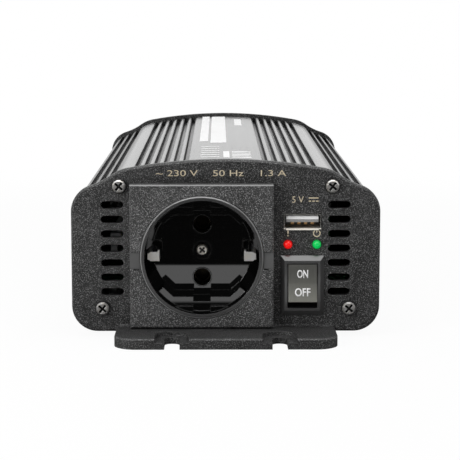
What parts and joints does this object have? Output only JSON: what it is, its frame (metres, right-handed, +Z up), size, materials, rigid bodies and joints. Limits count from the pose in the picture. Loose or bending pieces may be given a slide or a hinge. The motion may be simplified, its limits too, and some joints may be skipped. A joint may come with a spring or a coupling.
{
  "type": "power inverter",
  "caption": "Compact DC to AC inverter: finned black extruded case, slotted-foot end caps, round earthed socket, rocker switch, USB port, lamps, rear fan and screw posts.",
  "frame": {"origin": "on the floor under the middle of the case (bounding box bottom centre)", "axes": "-Y is the front with the socket, +X is to the right seen from the front, +Z is up"},
  "size_m": [0.1072, 0.2728, 0.0622],
  "materials": {
    "anodised_body": "black anodised extrusion, satin",
    "textured_cap": "fine textured black",
    "plated_screw": "nickel plated steel",
    "textured_frame": "fine textured black",
    "gloss_moulding": "polished black",
    "brass_contact": "bright brass",
    "nickel_spring": "nickel plated spring strip",
    "switch_moulding": "satin black",
    "rocker_moulding": "satin black with white legends",
    "nickel_shell": "nickel plated sheet",
    "white_moulding": "white insulator",
    "red_lamp": "clear red lens",
    "green_lamp": "clear green lens",
    "tinned_wire": "tinned",
    "green_board": "green solder mask",
    "fan_moulding": "black",
    "red_moulding": "red",
    "black_moulding": "black",
    "ferrite": "sintered ferrite",
    "winding_tape": "yellow polyester tape",
    "capacitor_sleeve": "dark blue sleeve",
    "transistor_case": "moulded black",
    "silicone_pad": "grey silicone",
    "bare_aluminium": "mill finish",
    "choke_coat": "enamelled copper over coated ring",
    "film_case": "yellow case",
    "fuse_blue": "blue",
    "red_lead": "red sheath",
    "black_lead": "black sheath",
    "brown_lead": "brown sheath"
  },
  "bodies": {
    "casing": {"extruded_body": "anodised_body", "front_end_cap": "textured_cap", "rear_end_cap": "textured_cap", "front_cap_screws": "plated_screw", "rear_cap_screws": "plated_screw", "socket_frame": "textured_frame", "socket_cup": "gloss_moulding", "socket_base": "gloss_moulding", "contact_sleeves": "brass_contact", "socket_screw": "plated_screw", "switch_housing": "switch_moulding", "switch_terminals": "brass_contact", "usb_shell": "nickel_shell", "usb_tongue": "white_moulding", "usb_contacts": "brass_contact", "fault_lamp": "red_lamp", "power_lamp": "green_lamp", "lamp_legs": "tinned_wire", "panel_board": "green_board", "panel_board_screws": "plated_screw", "fan_frame": "fan_moulding", "fan_screws": "plated_screw", "positive_collar": "red_moulding", "negative_collar": "black_moulding", "post_studs": "brass_contact", "ring_lugs": "tinned_wire", "post_nuts": "plated_screw", "main_board": "green_board", "transformer_core": "ferrite", "transformer_winding": "winding_tape", "bulk_capacitors": "capacitor_sleeve", "input_capacitors": "capacitor_sleeve", "power_transistors": "transistor_case", "insulating_pads": "silicone_pad", "clamp_bars": "bare_aluminium", "output_choke": "choke_coat", "film_capacitor": "film_case", "blade_fuses": "fuse_blue", "driver_board": "green_board", "driver_chips": "transistor_case", "positive_lead": "red_lead", "negative_lead": "black_lead", "mains_leads": "brown_lead", "switch_leads": "black_lead", "fan_leads": "black_lead"},
    "rocker": {"switch_rocker": "rocker_moulding"},
    "fan_rotor": {"fan_rotor": "fan_moulding"},
    "left_clip": {"earth_clip_left": "nickel_spring"},
    "right_clip": {"earth_clip_right": "nickel_spring"},
    "positive_washer": {"positive_washer": "plated_screw"},
    "positive_knob": {"positive_knob": "red_moulding"},
    "negative_washer": {"negative_washer": "plated_screw"},
    "negative_knob": {"negative_knob": "black_moulding"}
  },
  "joints": [
    {"name": "rocker_press", "type": "hinge", "parent": "casing", "child": "rocker", "pos_m": [0.02665, -0.11275, 0.0183], "axis": [1, 0, 0], "range_deg": [0, 24]},
    {"name": "fan_spin", "type": "hinge", "parent": "casing", "child": "fan_rotor", "pos_m": [-0.018, 0.10675, 0.0285], "axis": [0, 1, 0], "continuous": true},
    {"name": "left_clip_flex", "type": "hinge", "parent": "casing", "child": "left_clip", "pos_m": [-0.0267, -0.09405, 0.02875], "axis": [0, 0, -1], "range_deg": [0, 3.2], "stiffness_Nm_per_rad": 0.05},
    {"name": "right_clip_flex", "type": "hinge", "parent": "casing", "child": "right_clip", "pos_m": [0.0101, -0.09405, 0.02875], "axis": [0, 0, 1], "range_deg": [0, 3.2], "stiffness_Nm_per_rad": 0.05},
    {"name": "positive_washer_slide", "type": "slide", "parent": "casing", "child": "positive_washer", "axis": [0, 1, 0], "range_m": [0, 0.003]},
    {"name": "positive_knob_turn", "type": "hinge", "parent": "positive_washer", "child": "positive_knob", "pos_m": [0.012, 0.12475, 0.031], "axis": [0, 1, 0], "range_deg": [0, 1083]},
    {"name": "negative_washer_slide", "type": "slide", "parent": "casing", "child": "negative_washer", "axis": [0, 1, 0], "range_m": [0, 0.003]},
    {"name": "negative_knob_turn", "type": "hinge", "parent": "negative_washer", "child": "negative_knob", "pos_m": [0.034, 0.12475, 0.031], "axis": [0, 1, 0], "range_deg": [0, 1083]}
  ],
  "couplings": [
    {"joint": "positive_knob_turn", "follows": "positive_washer_slide", "rad_per_m": 6283.2},
    {"joint": "negative_knob_turn", "follows": "negative_washer_slide", "rad_per_m": 6283.2}
  ]
}
